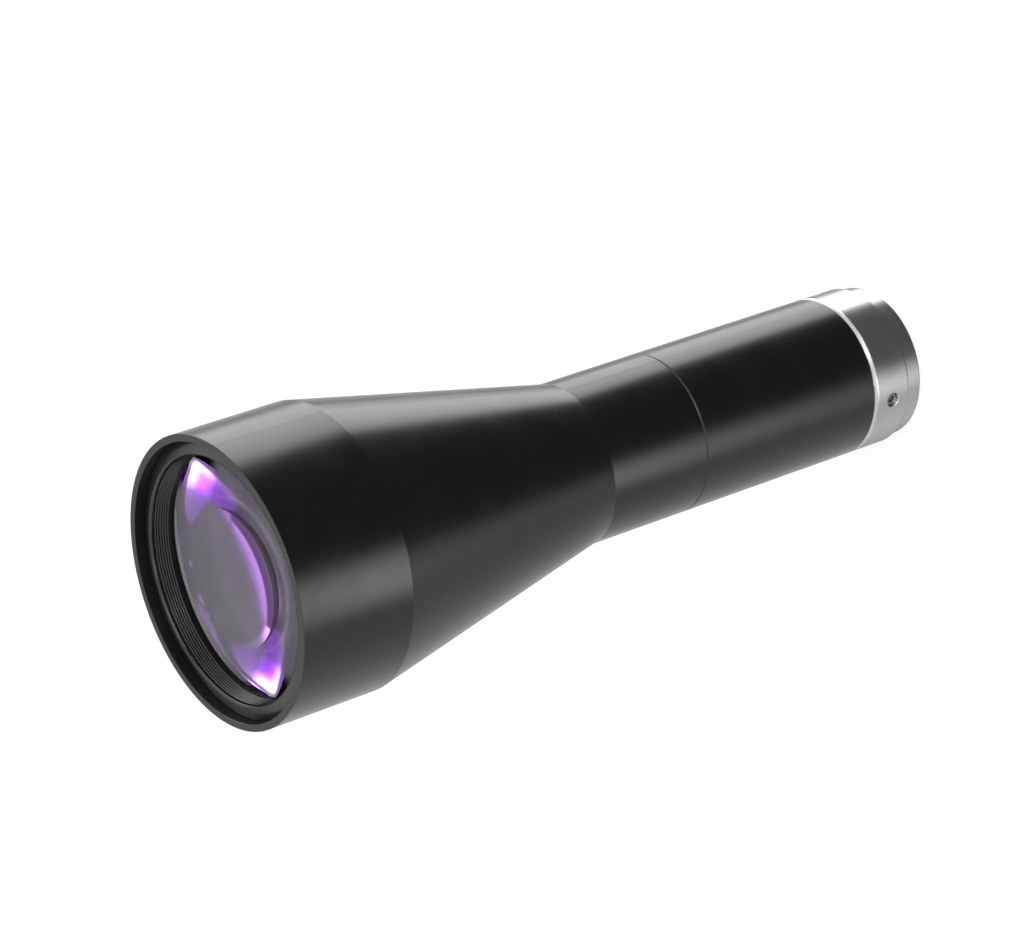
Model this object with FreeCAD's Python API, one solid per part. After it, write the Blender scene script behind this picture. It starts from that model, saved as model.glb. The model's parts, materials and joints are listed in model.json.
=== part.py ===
import FreeCAD, Part
import math
import os

# Telecentric lens standing on its mount end, in millimetres.
# The origin is the centre of the mount spigot's rear face.
# +Z runs along the optical axis, towards the front rim.
# Every turned piece is a profile of (radius, height) points, revolved about that axis.

# Lengths seen outside, from the mount end to the front rim
spigot_length = 5.0
ring_length = 12.6
rear_tube_length = 59.4
neck_length = 31.2
cone_length = 76.8
front_cylinder_length = 32.5

# Outer radii, and the step from the mount ring down to its spigot
front_radius = 38.25
tube_radius = 22.0
spigot_step = 1.0

# Edges and running clearances
edge_break = 0.3
rim_break = 0.12
glass_bevel = 0.3
thread_clearance = 0.1
glass_clearance = 0.1
slide_clearance = 0.05
end_clearance = 0.3

# Front recess and the screwed ring in it, as widths inward from the rim and depths below it
rim_width = 2.0
retainer_flange_width = 0.85
retainer_wall = 3.15
retainer_outer_depth = 3.0
retainer_rise = 1.0
retainer_bulge = 0.1
retainer_lip_round = 0.6
retainer_flange = 1.0
first_land = 1.25
last_land = 1.3
groove_pitch = 0.75
groove_width = 0.45
groove_depth = 0.2

# Cemented front doublet
front_glass_grip = 0.9
front_seat_width = 2.0
front_vertex_depth = 2.1
front_curve = 75.0
front_cement_curve = 56.0
front_crown_edge = 1.1
front_flint_thickness = 3.0
front_shoulder_drop = 0.6

# Cone with its two light baffles
cone_wall = 4.0
baffle_step = 1.2
baffle_thickness = 1.2
baffle_width = 4.0
front_baffle_drop = 35.0
baffle_spacing = 22.0

# Screwed joint between the front housing and the rear tube
joint_wall = 2.6
joint_spigot_wall = 2.3
joint_length = 8.0

# Corrector doublet in the neck
corrector_seat_width = 2.0
corrector_seat_drop = 4.2
corrector_front_curve = 80.0
corrector_cement_curve = 70.0
corrector_rear_curve = 90.0
corrector_crown_edge = 2.6
corrector_flint_thickness = 3.0
corrector_ring_length = 4.0

# Aperture stop
stop_step = 1.0
stop_hole_radius = 6.0
stop_thickness = 1.0
stop_ring_length = 1.5
stop_ring_width = 2.8
stop_lip_thickness = 2.0

# Tail of the rear tube inside the mount ring, and the relay cell in its bore
tail_step = 3.0
tail_wall = 2.45
cell_wall = 1.9
cell_lip_thickness = 1.5
spacer_width = 2.0
relay_front_curve = 60.0
relay_front_thickness = 6.0
relay_front_spacer_length = 9.0
relay_crown_curve = 40.0
relay_cement_curve = 38.0
relay_crown_edge = 1.9
relay_flint_thickness = 3.0
relay_rear_curve = 50.0
relay_rear_thickness = 5.0
relay_ring_length = 3.0
relay_ring_inset = 0.7
lock_ring_length = 3.5
lock_ring_width = 3.0
lock_ring_inset = 1.0

# Mount ring and its set screws
ring_front_chamfer = 1.1
ring_rear_chamfer = 0.5
mount_lip_width = 4.0
mount_lip_thickness = 4.0
screw_count = 3
screw_first_angle = -90.0
screw_height = 6.1
screw_radius = 1.95
screw_recess = 0.75
screw_tip_radius = 0.4
socket_sides = 6
socket_across_flats = 2.0
socket_depth = 1.3
tail_groove_depth = 1.0

# Spanner slots of the threaded rings
slot_width = 2.0
slot_depth = 1.0

# Heights worked out from the lengths
shoulder_z = spigot_length
ring_top_z = shoulder_z + ring_length
parting_z = ring_top_z + rear_tube_length
neck_top_z = parting_z + neck_length
cone_top_z = neck_top_z + cone_length
rim_z = cone_top_z + front_cylinder_length

axis_start = FreeCAD.Vector(0, 0, 0)
axis_up = FreeCAD.Vector(0, 0, 1)


def point(radius, height):
    return FreeCAD.Vector(radius, 0, height)


def turned(outline):
    # revolves a closed outline of (radius, height) points
    # an entry that holds two points is an arc through the first one to the second
    edges = []
    start = point(*outline[0])
    first = start
    for entry in outline[1:]:
        if isinstance(entry[0], tuple):
            middle = point(*entry[0])
            end = point(*entry[1])
            edges.append(Part.Arc(start, middle, end).toShape())
        else:
            end = point(*entry)
            edges.append(Part.LineSegment(start, end).toShape())
        start = end
    edges.append(Part.LineSegment(start, first).toShape())
    face = Part.Face(Part.Wire(edges))
    return face.revolve(axis_start, axis_up, 360)


def save(shape, name):
    shape.exportStep("parts/" + name + ".step")


def sag(curve, radius):
    # how far a sphere of this curve falls from its vertex at a distance from the axis; 0 stands for flat
    if curve == 0:
        return 0.0
    return math.copysign(abs(curve) - math.sqrt(curve ** 2 - radius ** 2), curve)


def surface_height(vertex_z, curve, radius):
    # a positive curve bulges towards the front
    return vertex_z - sag(curve, radius)


def surface_points(vertex_z, curve, from_radius, to_radius):
    # one step of an outline that follows a lens surface from one radius to another
    end = (to_radius, surface_height(vertex_z, curve, to_radius))
    if curve == 0:
        return end
    middle_radius = (from_radius + to_radius) / 2
    return ((middle_radius, surface_height(vertex_z, curve, middle_radius)), end)


def lens_element(front_z, front_surface, back_z, back_surface, radius):
    # glass between two surfaces, with a ground cylinder and two bevels at its edge
    inner = radius - glass_bevel
    front_edge_z = surface_height(front_z, front_surface, inner)
    back_edge_z = surface_height(back_z, back_surface, inner)
    return turned([
        (0, front_z),
        surface_points(front_z, front_surface, 0, inner),
        (radius, front_edge_z - glass_bevel),
        (radius, back_edge_z + glass_bevel),
        (inner, back_edge_z),
        surface_points(back_z, back_surface, inner, 0),
    ])


def plain_ring(outer, inner, bottom, length):
    # turned ring with broken outer edges
    top = bottom + length
    return turned([
        (inner, bottom),
        (outer - edge_break, bottom),
        (outer, bottom + edge_break),
        (outer, top - edge_break),
        (outer - edge_break, top),
        (inner, top),
    ])


def slotted(ring, outer, height, direction):
    # two spanner slots across the ring's end face; direction 1 cuts up from height, -1 cuts down
    low = height if direction > 0 else height - slot_depth
    corner = FreeCAD.Vector(-outer, -slot_width / 2, low)
    bar = Part.makeBox(2 * outer, slot_width, slot_depth, corner)
    return ring.cut(bar)


def cone_radius(height):
    # outer radius of the cone at a height
    share = (height - neck_top_z) / cone_length
    return tube_radius + share * (front_radius - tube_radius)


# Radii of the front group, inward from the rim
recess_radius = front_radius - rim_width
retainer_bore_thread = recess_radius - retainer_flange_width
retainer_thread_radius = retainer_bore_thread - thread_clearance
retainer_bore_radius = retainer_bore_thread - retainer_wall - thread_clearance
front_glass_radius = retainer_bore_radius + front_glass_grip
front_seat_radius = front_glass_radius - front_seat_width

# Heights of the front group, down from the rim
front_glass_z = rim_z - front_vertex_depth
front_sag = sag(front_curve, front_glass_radius)
front_cement_sag = sag(front_cement_curve, front_glass_radius)
front_cement_z = front_glass_z - front_sag - front_crown_edge - front_cement_sag
front_seat_z = front_cement_z - front_flint_thickness
retainer_bottom_z = surface_height(front_glass_z, front_curve, retainer_bore_radius)
front_shoulder_z = retainer_bottom_z - front_shoulder_drop
recess_depth = retainer_outer_depth + retainer_flange + end_clearance

# Baffle seats
front_baffle_z = cone_top_z - front_baffle_drop
rear_baffle_z = front_baffle_z - baffle_spacing

# Radii in the neck and the rear tube, inward from the tube
spigot_radius = tube_radius - spigot_step
joint_bore = tube_radius - joint_wall + thread_clearance
joint_radius = joint_bore - thread_clearance
corrector_bore_radius = joint_radius - joint_spigot_wall
corrector_glass_radius = corrector_bore_radius - glass_clearance
corrector_seat_radius = corrector_glass_radius - corrector_seat_width
stop_bore = joint_bore - stop_step
stop_radius = stop_bore - thread_clearance
tail_radius = tube_radius - tail_step
cell_bore = tail_radius - tail_wall
cell_radius = cell_bore - slide_clearance
relay_bore = cell_radius - cell_wall
relay_glass_radius = relay_bore - glass_clearance
spacer_radius = relay_glass_radius - spacer_width
mount_bore_radius = tail_radius - mount_lip_width

# Heights of the corrector, down from the neck's top
corrector_seat_z = neck_top_z - corrector_seat_drop
corrector_front_z = corrector_seat_z + sag(corrector_front_curve, corrector_seat_radius)
corrector_front_sag = sag(corrector_front_curve, corrector_glass_radius)
corrector_cement_sag = sag(corrector_cement_curve, corrector_glass_radius)
corrector_cement_z = corrector_front_z - corrector_front_sag - corrector_crown_edge - corrector_cement_sag
corrector_rear_z = corrector_cement_z - corrector_flint_thickness
corrector_flat_radius = corrector_glass_radius - glass_bevel
corrector_ring_top_z = surface_height(corrector_rear_z, corrector_rear_curve, corrector_flat_radius)

# Heights of the stop and the relay cell
joint_end_z = parting_z - joint_length
joint_floor_z = joint_end_z - end_clearance
stop_ring_z = joint_floor_z - stop_ring_length
stop_z = stop_ring_z - stop_thickness
cell_top_z = stop_z - stop_lip_thickness
tail_end_z = mount_lip_thickness + end_clearance
lock_ring_z = tail_end_z + lock_ring_inset
cell_bottom_z = lock_ring_z + lock_ring_length
cell_seat_z = cell_top_z - cell_lip_thickness
relay_front_z = cell_seat_z + sag(relay_front_curve, spacer_radius)
relay_front_back_z = relay_front_z - relay_front_thickness
relay_crown_contact_z = relay_front_back_z - relay_front_spacer_length
relay_crown_z = relay_crown_contact_z + sag(relay_crown_curve, spacer_radius)
relay_crown_sag = sag(relay_crown_curve, relay_glass_radius)
relay_cement_sag = sag(relay_cement_curve, relay_glass_radius)
relay_cement_z = relay_crown_z - relay_crown_sag - relay_crown_edge - relay_cement_sag
relay_flint_back_z = relay_cement_z - relay_flint_thickness
relay_ring_z = cell_bottom_z + relay_ring_inset
relay_rear_back_z = relay_ring_z + relay_ring_length
relay_rear_z = relay_rear_back_z + relay_rear_thickness
relay_rear_contact_z = surface_height(relay_rear_z, relay_rear_curve, spacer_radius)

# Set screws
screw_z = shoulder_z + screw_height
screw_tip_start = tail_radius - tail_groove_depth + slide_clearance
screw_head = tube_radius - screw_recess


def front_housing():
    # one turned piece: front cylinder, cone and neck outside, stepped cone and glass seats inside
    cone_slope = (front_radius - tube_radius) / cone_length
    inner_cone_top_z = neck_top_z + (front_seat_radius + cone_wall - tube_radius) / cone_slope
    glass_bore = front_glass_radius + glass_clearance
    first_step = cone_radius(front_baffle_z) - cone_wall
    second_step = cone_radius(rear_baffle_z) - cone_wall - baffle_step
    cone_end = tube_radius - cone_wall - 2 * baffle_step
    return turned([
        (tube_radius - edge_break, parting_z),
        (tube_radius, parting_z + edge_break),
        (tube_radius, neck_top_z),
        (front_radius, cone_top_z),
        (front_radius, rim_z - rim_break),
        (front_radius - rim_break, rim_z),
        (recess_radius + rim_break, rim_z),
        (recess_radius, rim_z - rim_break),
        (recess_radius, rim_z - recess_depth),
        (retainer_bore_thread, rim_z - recess_depth),
        (retainer_bore_thread, front_shoulder_z),
        (glass_bore, front_shoulder_z),
        (glass_bore, front_seat_z),
        (front_seat_radius, front_seat_z),
        (front_seat_radius, inner_cone_top_z),
        (first_step, front_baffle_z),
        (first_step - baffle_step, front_baffle_z),
        (second_step, rear_baffle_z),
        (second_step - baffle_step, rear_baffle_z),
        (cone_end, neck_top_z),
        (corrector_seat_radius, neck_top_z),
        (corrector_seat_radius, corrector_seat_z),
        (corrector_bore_radius, corrector_seat_z),
        (corrector_bore_radius, joint_end_z),
        (joint_radius - edge_break, joint_end_z),
        (joint_radius, joint_end_z + edge_break),
        (joint_radius, parting_z),
    ])


def grooves():
    # outline steps of the ring's bore, from the first groove down: flank in, flank out, crest
    first_centre_z = rim_z - retainer_outer_depth + retainer_rise - first_land - groove_width / 2
    last_centre_z = retainer_bottom_z + last_land + groove_width / 2
    groove_count = int((first_centre_z - last_centre_z) / groove_pitch) + 1
    steps = []
    for index in range(groove_count):
        centre_z = first_centre_z - index * groove_pitch
        steps.append((retainer_bore_radius, centre_z + groove_width / 2))
        steps.append((retainer_bore_radius + groove_depth, centre_z))
        steps.append((retainer_bore_radius, centre_z - groove_width / 2))
    return steps


def front_retaining_ring():
    # screwed ring with a crowned face and a grooved bore that holds the front doublet by its edge
    flange_radius = recess_radius - thread_clearance
    outer_z = rim_z - retainer_outer_depth
    lip_z = outer_z + retainer_rise
    lip_radius = retainer_bore_radius + retainer_lip_round
    crown_point = ((flange_radius + lip_radius) / 2, (outer_z + lip_z) / 2 + retainer_bulge)
    lip_corner = retainer_lip_round * (1 - math.sqrt(0.5))
    lip_point = (retainer_bore_radius + lip_corner, lip_z - lip_corner)
    outline = [
        (retainer_thread_radius, retainer_bottom_z),
        (retainer_thread_radius, outer_z - retainer_flange),
        (flange_radius, outer_z - retainer_flange),
        (flange_radius, outer_z),
        (crown_point, (lip_radius, lip_z)),
        (lip_point, (retainer_bore_radius, lip_z - retainer_lip_round)),
    ]
    outline += grooves()
    outline.append((retainer_bore_radius, retainer_bottom_z))
    return turned(outline)


def front_crown_element():
    back_surface = -front_cement_curve
    return lens_element(front_glass_z, front_curve, front_cement_z, back_surface, front_glass_radius)


def front_flint_element():
    return lens_element(front_cement_z, -front_cement_curve, front_seat_z, 0, front_glass_radius)


def baffle(seat_z, outer):
    # thin ring with a knife edge towards the light, resting on a step of the cone
    inner = outer - baffle_width
    top = seat_z + baffle_thickness
    return turned([(inner, top), (inner + baffle_thickness, seat_z), (outer, seat_z), (outer, top)])


def front_baffle():
    return baffle(front_baffle_z, cone_radius(front_baffle_z) - cone_wall - slide_clearance)


def rear_baffle():
    return baffle(rear_baffle_z, cone_radius(rear_baffle_z) - cone_wall - baffle_step - slide_clearance)


def corrector_crown_element():
    radius = corrector_glass_radius
    back_surface = -corrector_cement_curve
    return lens_element(corrector_front_z, corrector_front_curve, corrector_cement_z, back_surface, radius)


def corrector_flint_element():
    radius = corrector_glass_radius
    front_surface = -corrector_cement_curve
    return lens_element(corrector_cement_z, front_surface, corrector_rear_z, corrector_rear_curve, radius)


def corrector_retaining_ring():
    bottom = corrector_ring_top_z - corrector_ring_length
    ring = plain_ring(corrector_glass_radius, corrector_seat_radius, bottom, corrector_ring_length)
    return slotted(ring, corrector_glass_radius, bottom, 1)


def rear_tube():
    # joint thread and stop pocket at the top, the cell's bore below, a grooved tail inside the mount ring
    groove_top = screw_z + tail_groove_depth
    groove_bottom = screw_z - tail_groove_depth
    return turned([
        (tail_radius - edge_break, tail_end_z),
        (tail_radius, tail_end_z + edge_break),
        (tail_radius, groove_bottom),
        (tail_radius - tail_groove_depth, screw_z),
        (tail_radius, groove_top),
        (tail_radius, ring_top_z),
        (tube_radius - edge_break, ring_top_z),
        (tube_radius, ring_top_z + edge_break),
        (tube_radius, parting_z - edge_break),
        (tube_radius - edge_break, parting_z),
        (joint_bore, parting_z),
        (joint_bore, joint_floor_z),
        (stop_bore, joint_floor_z),
        (stop_bore, stop_z),
        (spacer_radius, stop_z),
        (spacer_radius, cell_top_z),
        (cell_bore, cell_top_z),
        (cell_bore, tail_end_z),
    ])


def stop_plate():
    # disc whose aperture has a thin edge, so that no light glances off its wall
    top = stop_z + stop_thickness
    return turned([
        (stop_hole_radius, top),
        (stop_hole_radius + stop_thickness, stop_z),
        (stop_radius, stop_z),
        (stop_radius, top),
    ])


def stop_retaining_ring():
    ring = plain_ring(stop_radius, stop_radius - stop_ring_width, stop_ring_z, stop_ring_length)
    return slotted(ring, stop_radius, stop_ring_z + stop_ring_length, -1)


def relay_lens_cell():
    # inner barrel that carries the relay elements, with a front lip and an open rear end
    return turned([
        (relay_bore, cell_bottom_z),
        (cell_radius - edge_break, cell_bottom_z),
        (cell_radius, cell_bottom_z + edge_break),
        (cell_radius, cell_top_z - edge_break),
        (cell_radius - edge_break, cell_top_z),
        (spacer_radius, cell_top_z),
        (spacer_radius, cell_seat_z),
        (relay_bore, cell_seat_z),
    ])


def relay_front_element():
    return lens_element(relay_front_z, relay_front_curve, relay_front_back_z, 0, relay_glass_radius)


def relay_front_spacer():
    return plain_ring(relay_glass_radius, spacer_radius, relay_crown_contact_z, relay_front_spacer_length)


def relay_crown_element():
    back_surface = -relay_cement_curve
    return lens_element(relay_crown_z, relay_crown_curve, relay_cement_z, back_surface, relay_glass_radius)


def relay_flint_element():
    front_surface = -relay_cement_curve
    return lens_element(relay_cement_z, front_surface, relay_flint_back_z, 0, relay_glass_radius)


def relay_rear_spacer():
    length = relay_flint_back_z - relay_rear_contact_z
    return plain_ring(relay_glass_radius, spacer_radius, relay_rear_contact_z, length)


def relay_rear_element():
    return lens_element(relay_rear_z, relay_rear_curve, relay_rear_back_z, 0, relay_glass_radius)


def relay_retaining_ring():
    ring = plain_ring(relay_glass_radius, spacer_radius, relay_ring_z, relay_ring_length)
    return slotted(ring, relay_glass_radius, relay_ring_z, 1)


def cell_lock_ring():
    ring = plain_ring(cell_radius, cell_radius - lock_ring_width, lock_ring_z, lock_ring_length)
    return slotted(ring, cell_radius, lock_ring_z, 1)


def screw_angles():
    return [screw_first_angle + index * 360.0 / screw_count for index in range(screw_count)]


def placed_radially(shape, angle):
    # a shape built along +Z is laid along +X, lifted to the screws' height and turned about the optical axis
    shape.rotate(axis_start, FreeCAD.Vector(0, 1, 0), 90)
    shape.translate(FreeCAD.Vector(0, 0, screw_z))
    shape.rotate(axis_start, axis_up, angle)
    return shape


def mount_ring():
    # silver ring with a plain spigot, a bright front chamfer and tapped holes through its wall
    bore = tail_radius + slide_clearance
    ring = turned([
        (mount_bore_radius + edge_break, 0),
        (spigot_radius - edge_break, 0),
        (spigot_radius, edge_break),
        (spigot_radius, shoulder_z),
        (tube_radius - ring_rear_chamfer, shoulder_z),
        (tube_radius, shoulder_z + ring_rear_chamfer),
        (tube_radius, ring_top_z - ring_front_chamfer),
        (tube_radius - ring_front_chamfer, ring_top_z),
        (bore, ring_top_z),
        (bore, mount_lip_thickness),
        (mount_bore_radius, mount_lip_thickness),
        (mount_bore_radius, edge_break),
    ])
    for angle in screw_angles():
        hole = Part.makeCylinder(screw_radius + slide_clearance, tube_radius)
        ring = ring.cut(placed_radially(hole, angle))
    return ring


def set_screw():
    # headless screw along +Z: cone point, plain body and a hexagon socket in its outer end
    shoulder = screw_tip_start + screw_radius
    body = turned([
        (0, screw_tip_start + screw_tip_radius),
        (screw_tip_radius, screw_tip_start + screw_tip_radius),
        (screw_radius, shoulder),
        (screw_radius, screw_head - edge_break),
        (screw_radius - edge_break, screw_head),
        (0, screw_head),
    ])
    corner_radius = socket_across_flats / 2 / math.cos(math.pi / socket_sides)
    corners = []
    for index in range(socket_sides + 1):
        turn = 2 * math.pi * index / socket_sides
        corner_x = corner_radius * math.cos(turn)
        corner_y = corner_radius * math.sin(turn)
        corners.append(FreeCAD.Vector(corner_x, corner_y, screw_head))
    socket = Part.Face(Part.makePolygon(corners)).extrude(FreeCAD.Vector(0, 0, -socket_depth))
    return body.cut(socket)


def set_screws():
    screws = [placed_radially(set_screw(), angle) for angle in screw_angles()]
    return Part.makeCompound(screws)


pieces = [
    front_housing,
    front_retaining_ring,
    front_crown_element,
    front_flint_element,
    front_baffle,
    rear_baffle,
    corrector_crown_element,
    corrector_flint_element,
    corrector_retaining_ring,
    rear_tube,
    stop_plate,
    stop_retaining_ring,
    relay_lens_cell,
    relay_front_element,
    relay_front_spacer,
    relay_crown_element,
    relay_flint_element,
    relay_rear_spacer,
    relay_rear_element,
    relay_retaining_ring,
    cell_lock_ring,
    mount_ring,
    set_screws,
]

os.makedirs("parts", exist_ok=True)
for piece in pieces:
    save(piece(), piece.__name__)
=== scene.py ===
import json
import math

import bpy
import numpy as np
from mathutils import Matrix, Vector


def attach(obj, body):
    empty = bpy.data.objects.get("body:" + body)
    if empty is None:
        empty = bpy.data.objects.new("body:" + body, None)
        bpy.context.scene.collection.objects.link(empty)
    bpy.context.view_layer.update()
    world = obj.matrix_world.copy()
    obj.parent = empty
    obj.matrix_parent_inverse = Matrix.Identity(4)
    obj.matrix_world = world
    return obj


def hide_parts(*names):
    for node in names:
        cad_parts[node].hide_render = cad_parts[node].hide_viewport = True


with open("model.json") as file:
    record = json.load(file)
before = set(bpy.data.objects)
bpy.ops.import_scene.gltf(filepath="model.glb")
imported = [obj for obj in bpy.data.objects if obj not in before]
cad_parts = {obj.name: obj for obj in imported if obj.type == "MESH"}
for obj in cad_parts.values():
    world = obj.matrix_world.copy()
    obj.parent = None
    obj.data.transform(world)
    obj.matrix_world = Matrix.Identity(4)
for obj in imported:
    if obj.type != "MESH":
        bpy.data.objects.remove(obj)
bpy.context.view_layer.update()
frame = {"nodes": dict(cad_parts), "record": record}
nodes = frame["nodes"]
print("frame loaded:", len(nodes), "nodes")

mm = 0.001  # lengths below are in millimetres
noiseSpan = (0.3, 0.7)  # most of a noise texture's values lie in between


def addNode(tree, kind, inputs=None, **settings):
    node = tree.nodes.new(kind)
    for name, value in settings.items():
        setattr(node, name, value)
    for name, value in (inputs or {}).items():
        if isinstance(value, bpy.types.NodeSocket):
            tree.links.new(value, node.inputs[name])
        else:
            node.inputs[name].default_value = value
    return node


def mathNode(tree, operation, first, second=0.0, third=0.0):
    ends = {0: first, 1: second, 2: third}
    return addNode(tree, "ShaderNodeMath", ends, operation=operation).outputs[0]


def dotWith(tree, vector, axis):
    ends = {0: vector, 1: tuple(axis)}
    return addNode(tree, "ShaderNodeVectorMath", ends, operation="DOT_PRODUCT").outputs["Value"]


def smoothBetween(tree, value, low, high, first=0.0, last=1.0):
    ends = {"Value": value, "From Min": low, "From Max": high, "To Min": first, "To Max": last}
    return addNode(tree, "ShaderNodeMapRange", ends, interpolation_type="SMOOTHSTEP").outputs["Result"]


def mixFloat(tree, factor, first, second):
    ends = {0: factor, 2: first, 3: second}
    return addNode(tree, "ShaderNodeMix", ends, data_type="FLOAT").outputs[0]


def mixColour(tree, factor, first, second):
    ends = {0: factor, 6: first, 7: second}
    return addNode(tree, "ShaderNodeMix", ends, data_type="RGBA").outputs[2]


def mixShader(tree, factor, first, second):
    ends = {0: factor, 1: first.outputs[0], 2: second.outputs[0]}
    return addNode(tree, "ShaderNodeMixShader", ends)


def objectPlace(tree):
    return addNode(tree, "ShaderNodeTexCoord").outputs["Object"]


def heightOf(tree, place):
    return addNode(tree, "ShaderNodeSeparateXYZ", {0: place}).outputs["Z"]


def grey(level):
    return (level, level, level, 1.0)


def tinted(level, tint):
    return (*[level * k for k in tint], 1.0)


def emptyMaterial(name):
    material = bpy.data.materials.new(name)
    material.use_nodes = True
    material.node_tree.nodes.clear()
    return material, material.node_tree


def newItem(name, mesh):
    item = bpy.data.objects.new(name, mesh)
    bpy.context.scene.collection.objects.link(item)
    return item


camera = {
    "azimuth": 33.097,
    "elevation": 33.577,
    "roll": -108.692,
    "aim": (2.909, 1.896, 123.020),
    "distance": 1016.30,
    "lens": 137.338,
    "sensor": 36,
    "near": 10,
    "far": 50000,
}


def makeCamera(c):
    # forward = (-sin a cos e, cos a cos e, -sin e); the picture's right turns about it by the roll
    a, e, roll = (math.radians(c[k]) for k in ("azimuth", "elevation", "roll"))
    forward = Vector((-math.sin(a) * math.cos(e), math.cos(a) * math.cos(e), -math.sin(e)))
    levelRight = Vector((math.cos(a), math.sin(a), 0))
    levelUp = levelRight.cross(forward)
    right = levelRight * math.cos(roll) + levelUp * math.sin(roll)
    up = right.cross(forward)
    place = (Vector(c["aim"]) - forward * c["distance"]) * mm
    data = bpy.data.cameras.new("photoCamera")
    data.lens = c["lens"]
    data.sensor_width = c["sensor"]
    data.clip_start = c["near"] * mm
    data.clip_end = c["far"] * mm
    item = newItem("photoCamera", data)
    item.matrix_world = Matrix.Translation(place) @ Matrix((right, up, -forward)).transposed().to_4x4()
    bpy.context.scene.camera = item


# the light tent: a world whose brightness depends on direction only, turned about Z by "turn" degrees
# a panel lies between the great circles through its corners (azimuth, elevation) and is convex;
# "soft" is half the width of its edge, "level" its brightness
tent = {
    "turn": 33.33,
    "sky": 0.66,
    "ground": (0.50, 0.34, 0.12),
    "horizon": (-0.25, 0.05),
    "panels": {
        "dark flag": {
            "corners": ((-150, -67), (38, -52), (-30, -2), (-92.6, -2)),
            "soft": 0.08,
            "level": 0.07,
        },
        "softbox right": {
            "corners": ((18, -56), (51, -64), (49, 20), (-28, 20)),
            "soft": 0.07,
            "level": 2.4,
        },
        "dark gap": {
            "corners": ((50, -72), (64, -72), (62, -8), (52, -8)),
            "soft": 0.05,
            "level": 0.25,
        },
        "softbox above the back": {
            "corners": ((50, 22), (130, 22), (122, 48), (58, 48)),
            "soft": 0.04,
            "level": 0.92,
        },
        "dark band below it": {
            "corners": ((44, 1), (136, 1), (134, 20), (46, 20)),
            "soft": 0.03,
            "level": 0.2,
        },
        "softbox left of the camera": {
            "corners": ((-126, 23), (-117, 23), (-117, 40), (-126, 40)),
            "soft": 0.03,
            "level": 6.0,
        },
        "softbox right of the camera": {
            "corners": ((-63, 23), (-55, 23), (-55, 40), (-63, 40)),
            "soft": 0.03,
            "level": 6.0,
        },
        "softbox by the camera": {
            "corners": ((-85, 27), (-71, 27), (-70, 47), (-85, 47)),
            "soft": 0.05,
            "level": 6.0,
        },
    },
}


def onSphere(azimuth, elevation):
    a, e = math.radians(azimuth), math.radians(elevation)
    return Vector((math.cos(a) * math.cos(e), math.sin(a) * math.cos(e), math.sin(e)))


def panelMask(tree, direction, p):
    # product over the sides of smoothstep(direction . sideNormal), with sideNormal = corner x nextCorner
    # turned inwards
    corners = [onSphere(*c) for c in p["corners"]]
    middle = sum(corners, Vector((0, 0, 0))).normalized()
    mask = 1.0
    for corner, following in zip(corners, corners[1:] + corners[:1]):
        inward = corner.cross(following).normalized()
        if inward.dot(middle) < 0:
            inward = -inward
        side = smoothBetween(tree, dotWith(tree, direction, inward), -p["soft"], p["soft"])
        mask = mathNode(tree, "MULTIPLY", side, mask)
    return mask


def makeTent(settings):
    world = bpy.data.worlds.new("lightTent")
    world.use_nodes = True
    tree = world.node_tree
    tree.nodes.clear()
    place = addNode(tree, "ShaderNodeTexCoord").outputs["Generated"]
    ends = {"Vector": place, "Angle": -math.radians(settings["turn"])}
    direction = addNode(tree, "ShaderNodeVectorRotate", ends, rotation_type="Z_AXIS").outputs[0]
    # below the horizon the tent brightens towards its back: a + b y + c y^2
    a, b, c = settings["ground"]
    y = dotWith(tree, direction, (0, 1, 0))
    ground = mathNode(tree, "MULTIPLY_ADD", mathNode(tree, "MULTIPLY_ADD", y, c, b), y, a)
    low, high = settings["horizon"]
    below = smoothBetween(tree, dotWith(tree, direction, (0, 0, 1)), low, high, 1.0, 0.0)
    level = mixFloat(tree, below, settings["sky"], ground)
    for panel in settings["panels"].values():
        level = mixFloat(tree, panelMask(tree, direction, panel), level, panel["level"])
    # the camera itself sees plain white behind the object
    camRay = addNode(tree, "ShaderNodeLightPath").outputs["Is Camera Ray"]
    strength = mixFloat(tree, camRay, level, 1.0)
    background = addNode(tree, "ShaderNodeBackground", {"Color": grey(1.0), "Strength": strength})
    addNode(tree, "ShaderNodeOutputWorld", {"Surface": background.outputs[0]})
    bpy.context.scene.world = world


# the reflector card: a standing card near the object, brighter towards its top, which throws no shadow
# its azimuth is the tent's, and "levels" are (height, brightness)
card = {
    "azimuth": -124,
    "distance": 400,
    "halfWidth": 175,
    "bottom": -420,
    "top": 30,
    "soft": 75,
    "lean": -0.22,
    "levels": ((-322, 0.54), (-258, 0.72), (-201, 1.2), (-116, 1.8), (-66, 2.2)),
}


def emissionSheet(name, corners, strength):
    # a flat sheet out of the camera's sight; strength(tree, place) gives its brightness and its mask
    mesh = bpy.data.meshes.new(name)
    mesh.from_pydata([tuple(c * mm) for c in corners], [], [(0, 1, 2, 3)])
    item = newItem(name, mesh)
    material, tree = emptyMaterial(name)
    level, mask = strength(tree, objectPlace(tree))
    glow = addNode(tree, "ShaderNodeEmission", {"Color": grey(1.0), "Strength": level})
    clear = addNode(tree, "ShaderNodeBsdfTransparent")
    both = mixShader(tree, mask, clear, glow)
    addNode(tree, "ShaderNodeOutputMaterial", {"Surface": both.outputs[0]})
    mesh.materials.append(material)
    item.visible_camera = False
    item.visible_shadow = False


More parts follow.
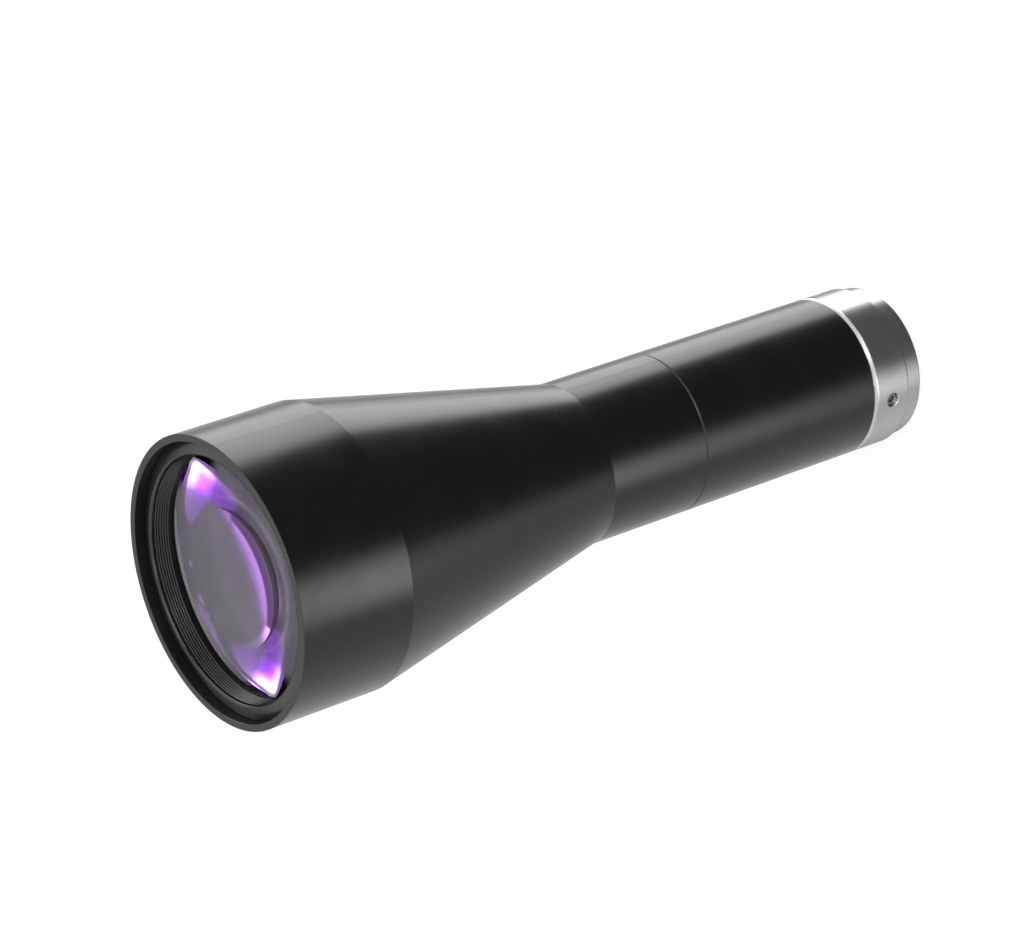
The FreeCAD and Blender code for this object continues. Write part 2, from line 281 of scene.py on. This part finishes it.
def makeCard(c):
    # corner = out * distance + across * (+/- halfWidth) + (0, 0, height)
    out = onSphere(c["azimuth"] + tent["turn"], 0)
    across = Vector((-out.y, out.x, 0))
    ends = ((-1, c["bottom"]), (1, c["bottom"]), (1, c["top"]), (-1, c["top"]))
    corners = [
        out * c["distance"] + across * side * c["halfWidth"] + Vector((0, 0, height))
        for side, height in ends
    ]

    def strength(tree, place):
        # brightness: the first level plus a straight ramp for each step between two heights
        height = heightOf(tree, place)
        level = c["levels"][0][1]
        for (z0, l0), (z1, l1) in zip(c["levels"], c["levels"][1:]):
            ramp = {"From Min": z0 * mm, "From Max": z1 * mm, "To Min": 0.0, "To Max": l1 - l0}
            step = addNode(tree, "ShaderNodeMapRange", {"Value": height, **ramp})
            level = mathNode(tree, "ADD", step.outputs["Result"], level)
        # the card's middle line leans: its shift along the card is lean * (z - top)
        shift = mathNode(tree, "MULTIPLY_ADD", height, c["lean"], -c["lean"] * c["top"] * mm)
        aside = mathNode(tree, "ABSOLUTE", mathNode(tree, "ADD", dotWith(tree, place, across), shift))
        full = (c["halfWidth"] - 2 * c["soft"]) * mm
        mask = smoothBetween(tree, aside, full, c["halfWidth"] * mm, 1.0, 0.0)
        return level, mask

    emissionSheet("reflectorCard", corners, strength)


# the pale floor takes the object's shadow, and only the camera sees it
paleFloor = {"halfSide": 6000, "paint": 0.5, "glow": 0.66}


def makeFloor(f):
    side = f["halfSide"] * mm
    mesh = bpy.data.meshes.new("floor")
    corners = [(-side, -side, 0), (side, -side, 0), (side, side, 0), (-side, side, 0)]
    mesh.from_pydata(corners, [], [(0, 1, 2, 3)])
    floor = newItem("floor", mesh)
    material, tree = emptyMaterial("paleFloor")
    paint = addNode(tree, "ShaderNodeBsdfDiffuse", {"Color": grey(f["paint"])})
    glow = addNode(tree, "ShaderNodeEmission", {"Color": grey(1.0), "Strength": f["glow"]})
    both = addNode(tree, "ShaderNodeAddShader", {0: paint.outputs[0], 1: glow.outputs[0]})
    addNode(tree, "ShaderNodeOutputMaterial", {"Surface": both.outputs[0]})
    mesh.materials.append(material)
    floor.visible_glossy = False
    floor.visible_diffuse = False
    floor.visible_transmission = False
    floor.visible_shadow = False


makeCamera(camera)
makeTent(tent)
makeCard(card)
makeFloor(paleFloor)
bpy.context.scene.view_settings.view_transform = "Standard"
print("studio ready")


# in the finishes below a scale counts cells of noise per metre, and a grain's depth is in millimetres
def newMaterial(name):
    material = bpy.data.materials.new(name)
    material.use_nodes = True
    tree = material.node_tree
    shader = next(n for n in tree.nodes if n.type == "BSDF_PRINCIPLED")
    return material, tree, shader


def speckle(tree, place, scale, low, high, detail=3.0):
    # noise spread between low and high
    ends = {"Vector": place, "Scale": scale, "Detail": detail}
    noise = addNode(tree, "ShaderNodeTexNoise", ends).outputs["Fac"]
    return smoothBetween(tree, noise, *noiseSpan, low, high)


def grain(tree, place, a):
    # bump from fine noise
    ends = {"Vector": place, "Scale": a["grain"], "Detail": 2.0}
    noise = addNode(tree, "ShaderNodeTexNoise", ends).outputs["Fac"]
    bump = {"Height": noise, "Strength": a["grainStrength"], "Distance": a["grainDepth"] * mm}
    return addNode(tree, "ShaderNodeBump", bump).outputs[0]


# black anodising: cloudy near-black between a cool and a warm tone
anodised = {
    "colour": (0.0013, 0.0027),
    "coolTint": (1.0, 1.0, 1.05),
    "warmTint": (1.04, 1.0, 1.0),
    "cloud": 55.0,
    "roughness": (0.245, 0.275),
    "roughCloud": 110.0,
    "ior": 1.8,
    "grain": 6000.0,
    "grainStrength": 0.02,
    "grainDepth": 0.003,
}


def blackAnodised(a):
    material, tree, shader = newMaterial("blackAnodised")
    place = objectPlace(tree)
    cloud = speckle(tree, place, a["cloud"], 0.0, 1.0)
    dark, light = a["colour"]
    colour = mixColour(tree, cloud, tinted(dark, a["coolTint"]), tinted(light, a["warmTint"]))
    rough = speckle(tree, place, a["roughCloud"], *a["roughness"], detail=1.0)
    tree.links.new(colour, shader.inputs["Base Color"])
    tree.links.new(rough, shader.inputs["Roughness"])
    tree.links.new(grain(tree, place, a), shader.inputs["Normal"])
    shader.inputs["IOR"].default_value = a["ior"]
    return material


# the pale paint behind the doublet is painted light for the light that comes in through the glass: paler near
# the glass as painted light, darker further down as painted shade
# it goes on the baffles, and on the housing's inside where bottom < z < top and the radius is below "within"
innerPaintedLight = {
    "deep": 0.80,
    "near": 0.86,
    "deepZ": 140,
    "nearZ": 195,
    "mottle": 0.12,
    "mottleCloud": 180.0,
    "roughness": (0.55, 0.65),
    "roughCloud": 900.0,
    "ior": 1.4,
    "grain": 2500.0,
    "grainStrength": 0.25,
    "grainDepth": 0.05,
    "baffles": ("front_baffle", "rear_baffle"),
    "bottom": 20,
    "top": 207.0,
    "within": 33.2,
}


def paintedLightWall(a):
    material, tree, shader = newMaterial("paintedLightWall")
    place = objectPlace(tree)
    # painted light and shade: the colour runs from deep (darker, painted shade) low down to near (paler,
    # painted light) close to the glass
    base = smoothBetween(tree, heightOf(tree, place), a["deepZ"] * mm, a["nearZ"] * mm, a["deep"], a["near"])
    mottle = speckle(tree, place, a["mottleCloud"], 1.0 - a["mottle"], 1.0)
    tree.links.new(mathNode(tree, "MULTIPLY", base, mottle), shader.inputs["Base Color"])
    tree.links.new(speckle(tree, place, a["roughCloud"], *a["roughness"]), shader.inputs["Roughness"])
    tree.links.new(grain(tree, place, a), shader.inputs["Normal"])
    shader.inputs["IOR"].default_value = a["ior"]
    return material


# turned metal: "lines" is the scale of the turning lines, "edge" darkens the rim of the reflection,
# and edgeRound softens how the edges shade
turned = {
    "colour": (0.75, 0.81),
    "cloud": 120.0,
    "roughness": (0.235, 0.265),
    "edge": 0.42,
    "edgeRound": 0.8,
    "lines": 7000.0,
    "lineStrength": 0.02,
    "lineDepth": 0.004,
}
screwSteel = {
    "colour": (0.34, 0.44),
    "cloud": 120.0,
    "roughness": (0.22, 0.30),
    "edge": 0.6,
    "edgeRound": 0.12,
    "lines": 5000.0,
    "lineStrength": 0.05,
    "lineDepth": 0.004,
}


def turnedMetal(name, m):
    # turning lines: noise that changes along Z only, so each line runs round the part
    material, tree, shader = newMaterial(name)
    place = objectPlace(tree)
    ends = {"W": heightOf(tree, place), "Scale": m["lines"], "Detail": 2.0}
    line = addNode(tree, "ShaderNodeTexNoise", ends, noise_dimensions="1D").outputs["Fac"]
    dark, light = m["colour"]
    colour = mixColour(tree, speckle(tree, place, m["cloud"], 0.0, 1.0), grey(dark), grey(light))
    tree.links.new(colour, shader.inputs["Base Color"])
    tree.links.new(smoothBetween(tree, line, *noiseSpan, *m["roughness"]), shader.inputs["Roughness"])
    soft = addNode(tree, "ShaderNodeBevel", {"Radius": m["edgeRound"] * mm}, samples=6).outputs[0]
    bump = {"Height": line, "Strength": m["lineStrength"], "Distance": m["lineDepth"] * mm, "Normal": soft}
    tree.links.new(addNode(tree, "ShaderNodeBump", bump).outputs[0], shader.inputs["Normal"])
    shader.inputs["Specular Tint"].default_value = grey(m["edge"])
    shader.inputs["Metallic"].default_value = 1.0
    return material


# the coating on the front doublet: share of the plain glass reflection, where it rises to total, and the tint
# the tint's places are 1 - cosine (0 square on, 1 grazing); the front's "total" is in Fresnel reflection,
# the rear's in 1 - cosine
coating = {
    "ior": 1.52,
    "front": {
        "share": 0.4,
        "total": (0.85, 0.99),
        "byAngle": False,
        "tint": ((0.0, (0.92, 0.88, 0.96)), (1.0, (0.96, 0.94, 0.98))),
    },
    "rear": {
        "share": 1.1,
        "total": (0.19, 0.262),
        "byAngle": True,
        "tint": (
            (0.0, (0.66, 0.42, 1.0)),
            (0.20, (0.60, 0.28, 1.0)),
            (0.285, (0.70, 0.36, 1.0)),
            (0.33, (0.94, 0.90, 1.0)),
        ),
    },
    "unevenness": 0.08,
    "film": 90.0,
    "haze": (0.0, 0.012),
    "hazeCloud": 700.0,
    "shadow": 0.95,
    "grain": 1200.0,
    "grainStrength": 0.02,
    "grainDepth": 0.0005,
}


def colourRamp(tree, value, stops):
    ramp = addNode(tree, "ShaderNodeValToRGB", {"Fac": value})
    elements = ramp.color_ramp.elements
    while len(elements) < len(stops):
        elements.new(0.5)
    for element, (place, colour) in zip(elements, stops):
        element.position = place
        element.color = (*colour, 1.0)
    return ramp.outputs[0]


def coatedSurface(name, face, c):
    # refraction mixed with reflection by share * Fresnel, rising to 1 between the two values of total
    material, tree = emptyMaterial(name)
    place = objectPlace(tree)
    fresnel = addNode(tree, "ShaderNodeFresnel", {"IOR": c["ior"]}).outputs[0]
    facing = addNode(tree, "ShaderNodeLayerWeight", {"Blend": 0.5}).outputs["Facing"]
    total = smoothBetween(tree, facing if face["byAngle"] else fresnel, *face["total"])
    factor = mixFloat(tree, total, mathNode(tree, "MULTIPLY", fresnel, face["share"]), 1.0)
    ends = {"Color": grey(1.0), "Roughness": 0.0, "IOR": c["ior"]}
    through = addNode(tree, "ShaderNodeBsdfRefraction", ends)
    film = speckle(tree, place, c["film"], 1.0 - c["unevenness"], 1.0)
    ends = {0: colourRamp(tree, facing, face["tint"]), "Scale": film}
    colour = addNode(tree, "ShaderNodeVectorMath", ends, operation="SCALE").outputs[0]
    haze = speckle(tree, place, c["hazeCloud"], *c["haze"])
    ends = {"Color": colour, "Roughness": haze, "Normal": grain(tree, place, c)}
    optics = mixShader(tree, factor, through, addNode(tree, "ShaderNodeBsdfGlossy", ends))
    # light reaches what lies behind the glass
    clear = addNode(tree, "ShaderNodeBsdfTransparent", {"Color": grey(c["shadow"])})
    shadowRay = addNode(tree, "ShaderNodeLightPath").outputs["Is Shadow Ray"]
    both = mixShader(tree, shadowRay, optics, clear)
    addNode(tree, "ShaderNodeOutputMaterial", {"Surface": both.outputs[0]})
    return material


# the doublet's ground edge: fine matt grey
groundGlass = {
    "colour": (0.20, 0.30),
    "cloud": 400.0,
    "roughness": (0.45, 0.60),
    "roughCloud": 1500.0,
    "grain": 6000.0,
    "grainStrength": 0.3,
    "grainDepth": 0.01,
}


def groundEdge(g):
    material, tree, shader = newMaterial("groundEdge")
    place = objectPlace(tree)
    dark, light = g["colour"]
    colour = mixColour(tree, speckle(tree, place, g["cloud"], 0.0, 1.0), grey(dark), grey(light))
    tree.links.new(colour, shader.inputs["Base Color"])
    tree.links.new(speckle(tree, place, g["roughCloud"], *g["roughness"]), shader.inputs["Roughness"])
    tree.links.new(grain(tree, place, g), shader.inputs["Normal"])
    return material


# the smaller lenses: clear glass whose thin coating shows a green to violet glint
smallLens = {
    "ior": 1.52,
    "clear": (0.97, 1.0),
    "cloud": 80.0,
    "coat": ((0.0, (0.55, 0.85, 0.75)), (0.5, (0.70, 0.55, 1.0)), (1.0, (1.0, 1.0, 1.0))),
    "haze": (0.0, 0.015),
    "hazeCloud": 700.0,
    "grain": 1200.0,
    "grainStrength": 0.02,
    "grainDepth": 0.0005,
}


def clearGlass(g):
    material, tree, shader = newMaterial("clearGlass")
    place = objectPlace(tree)
    facing = addNode(tree, "ShaderNodeLayerWeight", {"Blend": 0.5}).outputs["Facing"]
    dim, full = g["clear"]
    body = mixColour(tree, speckle(tree, place, g["cloud"], 0.0, 1.0), grey(dim), grey(full))
    tree.links.new(body, shader.inputs["Base Color"])
    tree.links.new(speckle(tree, place, g["hazeCloud"], *g["haze"]), shader.inputs["Roughness"])
    tree.links.new(grain(tree, place, g), shader.inputs["Normal"])
    tree.links.new(colourRamp(tree, facing, g["coat"]), shader.inputs["Specular Tint"])
    shader.inputs["Transmission Weight"].default_value = 1.0
    shader.inputs["IOR"].default_value = g["ior"]
    return material


def revolve(name, profile, finishes, materials, o):
    # point(row, turn) = (r cos t, r sin t, z) for the profile's rows (r, z), both ends on the axis
    # finishes numbers the material of each band between two rows
    rows = np.array(profile, float)
    rings = rows[1:-1]
    turns, count = o["turns"], len(rings)
    t = np.arange(turns) * 2 * np.pi / turns
    heights = np.repeat(rings[:, 1:], turns, 1)
    around = np.stack([rings[:, :1] * np.cos(t), rings[:, :1] * np.sin(t), heights], -1)
    points = np.concatenate([[[0, 0, rows[0, 1]]], around.reshape(-1, 3), [[0, 0, rows[-1, 1]]]]) * mm
    here = np.arange(turns)
    following = (here + 1) % turns
    band = 1 + np.arange(count - 1)[:, None] * turns
    nextBand = band + turns
    quads = np.stack([band + here, nextBand + here, nextBand + following, band + following], -1)
    start = np.stack([np.zeros(turns, int), 1 + here, 1 + following], -1)
    last = 1 + (count - 1) * turns
    end = np.stack([last + here, np.full(turns, last + turns), last + following], -1)
    mesh = bpy.data.meshes.new(name)
    mesh.from_pydata(points.tolist(), [], start.tolist() + quads.reshape(-1, 4).tolist() + end.tolist())
    middle = np.repeat(1 + np.arange(count - 1), turns)
    bandOf = np.concatenate([np.zeros(turns, int), middle, np.full(turns, count)])
    mesh.polygons.foreach_set("material_index", np.array(finishes)[bandOf])
    for material in materials:
        mesh.materials.append(material)
    mesh.shade_smooth()
    mesh.set_sharp_from_angle(angle=math.radians(o["sharpAngle"]))
    mesh.update()
    return newItem(name, mesh)


# the cemented front doublet, drawn as one optical body so that light takes its real way through it
# "radius" is its edge's, "aperture" the rear face's
frontOptics = {
    "vertexZ": 215.4,
    "frontCurve": 75.0,
    "rearCurve": 56.0,
    "thickness": 19.52,
    "radius": 33.0,
    "aperture": 32.9,
    "rows": 80,
    "turns": 256,
    "sharpAngle": 25,
}


def frontDoublet(o, materials):
    # height of a spherical face at radius r: vertex -/+ (R - sqrt(R^2 - r^2)) for the front and the rear
    r = np.linspace(0, o["radius"], o["rows"])
    front = o["vertexZ"] - (o["frontCurve"] - np.sqrt(o["frontCurve"] ** 2 - r ** 2))
    back = np.linspace(o["aperture"], 0, o["rows"])
    rear = o["vertexZ"] - o["thickness"] + (o["rearCurve"] - np.sqrt(o["rearCurve"] ** 2 - back ** 2))
    edge = [(o["radius"], rear[0])]
    profile = list(zip(r, front)) + edge + list(zip(back, rear))
    finishes = [0] * (o["rows"] - 1) + [1, 1] + [2] * (o["rows"] - 1)
    return revolve("frontDoublet", profile, finishes, materials, o)


def paintLightInside(item, paint, a):
    # faces that look towards the axis (centre . normal < 0 across z) or up (normal z > 0.5) get the pale
    # paint, which is painted light
    mesh = item.data
    count = len(mesh.polygons)
    centre = np.empty(count * 3)
    normal = np.empty(count * 3)
    mesh.polygons.foreach_get("center", centre)
    mesh.polygons.foreach_get("normal", normal)
    (x, y, z), (nx, ny, nz) = centre.reshape(-1, 3).T, normal.reshape(-1, 3).T
    inward = (x * nx + y * ny < -1e-6) | (nz > 0.5)
    seen = np.hypot(x, y) < a["within"] * mm
    between = (z > a["bottom"] * mm) & (z < a["top"] * mm)
    mesh.materials.append(paint)
    mesh.polygons.foreach_set("material_index", (inward & seen & between).astype(int))


black = blackAnodised(anodised)
paintedLightInside = paintedLightWall(innerPaintedLight)
metal = turnedMetal("turnedMetal", turned)
steel = turnedMetal("screwSteel", screwSteel)
glass = clearGlass(smallLens)
slotFinish = {
    "black_anodised": black,
    "bright_metal": metal,
    "steel": steel,
    "coated_glass": glass,
    "optical_glass": glass,
}
for part in frame["record"]["subparts"]:
    item = nodes[part["node"]]
    # the baffles take the pale paint, which is painted light, in place of their own finish
    finish = paintedLightInside if part["node"] in innerPaintedLight["baffles"] else slotFinish[part["material_slot"]]
    item.data.materials.clear()
    item.data.materials.append(finish)
paintLightInside(nodes["front_housing"], paintedLightInside, innerPaintedLight)

front = frontDoublet(frontOptics, [
    coatedSurface("coatedFront", coating["front"], coating),
    groundEdge(groundGlass),
    coatedSurface("coatedRear", coating["rear"], coating),
])
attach(front, "root")
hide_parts("front_crown_element", "front_flint_element")
print("materials ready")
